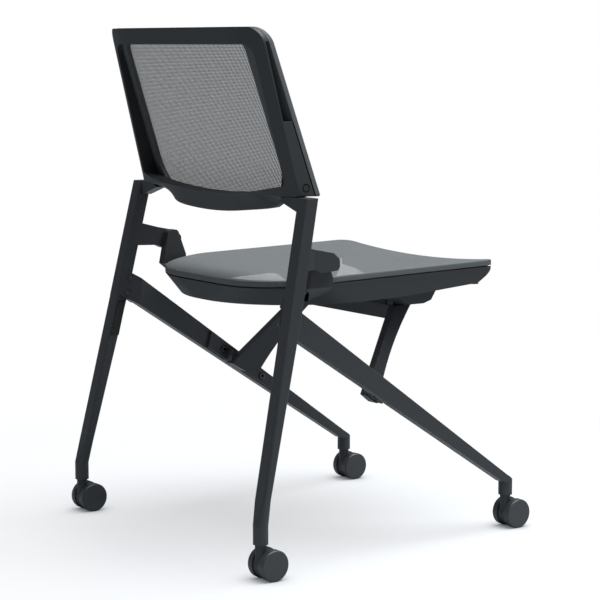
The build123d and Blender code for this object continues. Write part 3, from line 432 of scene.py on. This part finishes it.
def on_back(point, depth):
    """A point of the back panel, seen from the front as across and height, a depth behind its face."""
    beyond = max(0.0, abs(point.x) - back_flat_half)
    forward = back_wrap_radius - math.sqrt(back_wrap_radius**2 - beyond**2)
    face_y = back_foot_y + back_slope * (point.y - back_foot_height)
    return Vector((point.x, face_y + (depth - cloth_thickness - forward) / back_cosine, point.y))


back_low, back_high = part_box("back_carrier")
back_lower_corner = (0.0, back_low[2] - 0.008, 0.9)  # the wide radius rounds it off above this point
back_left_corners = [
    (0.187, 0.581, 0.02),
    (0.205, back_foot_height, 0.006),
    (back_foot_half, back_foot_height, 0.003),
    (back_top_half, back_high[2], 0.026),
]
back_right_corners = [(-x, height, radius) for x, height, radius in reversed(back_left_corners)]
back_outline = evenly(rounded([back_lower_corner] + back_left_corners + back_right_corners))
back_panel, back_area = stretched_sheet("back_knit_panel", back_outline, back_middle, on_back)
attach(back_panel, "frame")
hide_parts("back_mesh")

# %% [markdown]
# ## A helper for small solids
#
# The small details that follow are all short bars or rings. A row of loops with the same number of points
# is enough to describe them: each loop is joined to the next, and the ends are closed or joined up too.

# %% Small solids
sides = (("left", 1), ("right", -1))


def skinned(name, loops, material, body="frame", ring=False):
    """A solid skinned over loops of points, with flat ends or joined up as a ring, on one of the bodies."""
    solid = bmesh.new()
    rows = [[solid.verts.new(point) for point in loop] for loop in loops]
    count = len(rows[0])
    for first, second in zip(rows, rows[1:] + rows[:1] if ring else rows[1:]):
        for number in range(count):
            following = (number + 1) % count
            solid.faces.new((first[number], first[following], second[following], second[number]))
    if not ring:
        solid.faces.new(rows[0])
        solid.faces.new(rows[-1])
    bmesh.ops.recalc_face_normals(solid, faces=solid.faces)
    mesh = bpy.data.meshes.new(name)
    solid.to_mesh(mesh)
    solid.free()
    mesh.materials.append(material)
    piece = bpy.data.objects.new(name, mesh)
    bpy.context.scene.collection.objects.link(piece)
    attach(piece, body)


def polygon(corners, radius, x, y, z):
    """The corners of a regular polygon that faces along X."""
    angles = [2 * math.pi * corner / corners for corner in range(corners)]
    return [Vector((x, y + radius * math.cos(turn), z + radius * math.sin(turn))) for turn in angles]


print("details are made for", len(sides), "sides")

# %% [markdown]
# ## Seams
#
# Two dark seams show how the back is put together: one where the mesh's carrier clips on to the back
# frame, and one round each screw cap in the frame's sides. Cutting them would change the solid parts, so
# each is a thin piece that stands a hair out of the surface, painted near black as the shade inside the
# gap, so that it reads as depth.

# %% Seams of the back
seam_depth = 0.0095  # the carrier's rear face lies this far behind the cloth's face
seam_width = 0.0016
seam_proud = 0.00012
seam_root = 0.001  # how far the thin pieces reach under the surface
seam_heights = (0.5895, 0.648, 0.7055)
for side_name, way in sides:
    loops = []
    for height in seam_heights:
        share = (height - back_foot_height) / (back_high[2] - back_foot_height)
        edge = back_foot_half - share * (back_foot_half - back_top_half)
        corners = (
            (-seam_root, seam_depth),
            (seam_proud, seam_depth),
            (seam_proud, seam_depth + seam_width),
            (-seam_root, seam_depth + seam_width),
        )
        loops.append(
            [on_back(Vector((way * (edge + out), height)), depth) for out, depth in corners]
        )
    skinned(f"back_seam_{side_name}", loops, painted_gap_shade)
print("seams between the back's carrier and its frame")

# %% Seams of the screw caps
cap_low, cap_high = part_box("back_screw_caps")
cap_y, cap_z = (cap_low[1] + cap_high[1]) / 2, (cap_low[2] + cap_high[2]) / 2
cap_radius = (cap_high[2] - cap_low[2]) / 2
cap_seam_width = 0.0011
cap_seam_proud = 0.0004
cap_seam_corners = 32
for side_name, way in sides:
    circles = [
        polygon(cap_seam_corners, radius, way * x, cap_y, cap_z)
        for radius, x in (
            (cap_radius, cap_high[0] - seam_root),
            (cap_radius + cap_seam_width, cap_high[0] - seam_root),
            (cap_radius + cap_seam_width, cap_high[0] + cap_seam_proud),
            (cap_radius, cap_high[0] + cap_seam_proud),
        )
    ]
    skinned(f"cap_seam_{side_name}", list(zip(*circles)), painted_gap_shade, ring=True)
print("seams round caps of", round(2000 * cap_radius, 1), "mm")

# %% [markdown]
# ## Screw sockets and ear slots
#
# The screws of the brace have hexagon sockets, and under each ear of the seat there is a slot in the
# sloping underside of its foot. Both are openings whose shade is painted: thin near-black pieces, made in
# the same way as the seams. The sockets find their places from the screws' own heads: the points of a
# head that lie nearest to the middle of the chair are its rim.

# %% Screw sockets
socket_radius = 0.0032
socket_root = 0.0005
screw_points = [nodes["brace_screws"].matrix_world @ v.co for v in nodes["brace_screws"].data.vertices]
head_x = min(abs(point.x) for point in screw_points)
head_rims = [point for point in screw_points if abs(point.x) - head_x < 1e-5]
middle_y = sum(point.y for point in head_rims) / len(head_rims)
for side_name, way in sides:
    for place_name, is_rear in (("front", False), ("rear", True)):
        rim = [p for p in head_rims if p.x * way > 0 and (p.y > middle_y) == is_rear]
        centre = sum(rim, Vector()) / len(rim)
        hexagons = [
            polygon(6, socket_radius, way * (head_x + depth), centre.y, centre.z)
            for depth in (socket_root, -seam_proud)
        ]
        skinned(f"screw_socket_{place_name}_{side_name}", hexagons, painted_gap_shade)
print("a socket in each screw of the brace,", round(1000 * head_x), "mm from the middle")

# %% Ear slots
ear_foot_x, ear_foot_height = 0.2018, 0.424  # a point on the underside of the ear's foot
ear_foot_slope = math.radians(30)
ear_slot_corners = ((0.222, 0.149), (0.211, 0.138), (0.185, 0.123), (0.185, 0.137))  # across, along
for side_name, way in sides:
    loops = []
    for out in (seam_proud, -seam_root):
        loop = []
        for x, y in ear_slot_corners:
            underside = ear_foot_height + math.tan(ear_foot_slope) * (x - ear_foot_x)
            across = way * (x + math.sin(ear_foot_slope) * out)
            loop.append(Vector((across, y, underside - math.cos(ear_foot_slope) * out)))
        loops.append(loop)
    skinned(f"ear_slot_{side_name}", loops, painted_gap_shade, body="seat")
print("a slot under each ear of the seat")

# %% [markdown]
# ## The strip on the brace
#
# A low strip in the matt rubber finish lies along the rear edge of the brace's top bar, between the two
# rests of the seat, and closes the gap under the seat: it is painted shade, a dark stand-in for the
# shadow there. It is plain, so an outline seen from the side, drawn out along the bar, is enough.

# %% Brace strip
strip_half_length = 0.1142
# place along the chair, height
strip_outline = (
    (-0.0885, 0.384),
    (-0.0885, 0.3935),
    (-0.0895, 0.3948),
    (-0.0915, 0.3948),
    (-0.0925, 0.384),
)
strip_ends = [
    [Vector((x, y, z)) for y, z in strip_outline] for x in (-strip_half_length, strip_half_length)
]
# painted shade: a dark strip that closes the gap under the seat
skinned("brace_shade_strip", strip_ends, rubber)
print("a strip of", round(2000 * strip_half_length), "mm on the brace")

# %% [markdown]
# ## The floor
#
# The picture is a product shot on a pale floor that keeps only a soft shadow. The floor is white paint
# under the chair and fades into the white room further out. What fades in is a glow that only the camera
# sees. Where something stands close by, the glow is darkened into a painted contact shadow under the
# casters. The light that the floor throws back on to the chair comes from a greyer paint, which keeps the
# undersides dark.

# %% Floor
floor_size = 12.0
fade_start, fade_end = 0.35, 1.2  # distance from the chair's middle
glow_under_chair = 0.55
grit_size = 0.025
contact_reach = 0.05
floor_material, tree, shader = new_material("studio_floor_paint")
place = add_node(tree, "ShaderNodeTexCoord", {})
distance = add_node(tree, "ShaderNodeVectorMath", {0: place.outputs["Object"]}, operation="LENGTH")
fade = add_node(
    tree,
    "ShaderNodeMapRange",
    {
        "Value": distance.outputs["Value"],
        "From Min": fade_start,
        "From Max": fade_end,
        "To Min": glow_under_chair,
    },
)
grit = add_node(
    tree, "ShaderNodeTexNoise", {"Vector": place.outputs["Object"], "Scale": 1 / grit_size}
)
paint = add_node(tree, "ShaderNodeValToRGB", {"Fac": grit.outputs["Fac"]})
paint.color_ramp.elements[0].color = linear("#e4e9ef")
paint.color_ramp.elements[1].color = linear("#e8edf2")
ray = add_node(tree, "ShaderNodeLightPath", {})
bounce = add_node(
    tree,
    "ShaderNodeMix",
    {"Factor": ray.outputs["Is Camera Ray"], 6: linear("#c0c6ca"), 7: paint.outputs["Color"]},
    data_type="RGBA",
)
tree.links.new(bounce.outputs[2], shader.inputs["Base Color"])
shader.inputs["Roughness"].default_value = 0.8
# painted contact shadow: ambient occlusion darkens the glow where something stands close by
nearby = add_node(tree, "ShaderNodeAmbientOcclusion", {"Distance": contact_reach}, samples=8)
painted_contact_shadow = add_node(tree, "ShaderNodeValToRGB", {"Fac": nearby.outputs["AO"]})
painted_contact_shadow.color_ramp.elements[0].color = linear("#4a4f58")
painted_contact_shadow.color_ramp.elements[1].color = linear("#ffffff")
painted_contact_shadow.color_ramp.elements[1].position = 0.9
glow = add_node(tree, "ShaderNodeEmission", {"Color": painted_contact_shadow.outputs["Color"], "Strength": 1.0})
share = add_node(
    tree,
    "ShaderNodeMath",
    {0: fade.outputs["Result"], 1: ray.outputs["Is Camera Ray"]},
    operation="MULTIPLY",
)
blend = add_node(
    tree,
    "ShaderNodeMixShader",
    {0: share.outputs[0], 1: shader.outputs["BSDF"], 2: glow.outputs["Emission"]},
)
tree.links.new(blend.outputs["Shader"], tree.nodes["Material Output"].inputs["Surface"])

bpy.ops.mesh.primitive_plane_add(size=floor_size)
floor = bpy.context.object
floor.name = "studio_floor"
floor.data.materials.append(floor_material)
print("a floor of", floor_size, "m")

# %% [markdown]
# ## Room and light
#
# The room is white to the camera and dimmer to the chair, which keeps the sides of the chair dark. The
# main light is one large softbox overhead, a little to the front and to the sitter's right, so that the
# shadow under the chair is soft.

# %% Room and light
room_strength = 0.24
softbox_place, softbox_aim = Vector((-0.6, -0.6, 3.2)), Vector((0.0, 0.0, 0.3))
world = bpy.data.worlds.new("studio_room")
world.use_nodes = True
bpy.context.scene.world = world
tree = world.node_tree
tree.nodes.clear()
ray = add_node(tree, "ShaderNodeLightPath", {})
seen = add_node(
    tree,
    "ShaderNodeMath",
    {0: ray.outputs["Is Camera Ray"], 1: ray.outputs["Is Transmission Ray"]},
    operation="MAXIMUM",
)
room_light = add_node(
    tree, "ShaderNodeBackground", {"Color": linear("#e8eef9"), "Strength": room_strength}
)
room_seen = add_node(tree, "ShaderNodeBackground", {"Color": linear("#ffffff"), "Strength": 1.0})
room = add_node(
    tree,
    "ShaderNodeMixShader",
    {0: seen.outputs[0], 1: room_light.outputs[0], 2: room_seen.outputs[0]},
)
add_node(tree, "ShaderNodeOutputWorld", {"Surface": room.outputs["Shader"]})

softbox = bpy.data.lights.new("overhead_softbox", "AREA")
softbox.size = 3.0
softbox.energy = 175.0
holder = bpy.data.objects.new("overhead_softbox", softbox)
holder.location = softbox_place
holder.rotation_euler = (softbox_aim - softbox_place).to_track_quat("-Z", "Y").to_euler()
bpy.context.scene.collection.objects.link(holder)
print("a softbox of", softbox.energy, "W")

# %% [markdown]
# ## The camera
#
# A long lens from a few metres away keeps the chair's lines nearly parallel. It looks from behind the
# sitter's right shoulder, slightly down. The Standard view shows colours about as they are written above.

# %% Camera
camera_place = (-2.7938, 1.9487, 0.8244)
camera_turn, camera_dip = 235.238, 7.303  # degrees about the vertical, and down from level
eye = bpy.data.cameras.new("photo_camera")
eye.lens = 119.58
camera = bpy.data.objects.new("photo_camera", eye)
camera.location = camera_place
camera.rotation_euler = (math.radians(90 - camera_dip), 0.0, math.radians(camera_turn))
bpy.context.scene.collection.objects.link(camera)
bpy.context.scene.camera = camera
bpy.context.scene.view_settings.view_transform = "Standard"
print("camera", round(eye.lens, 1), "mm")
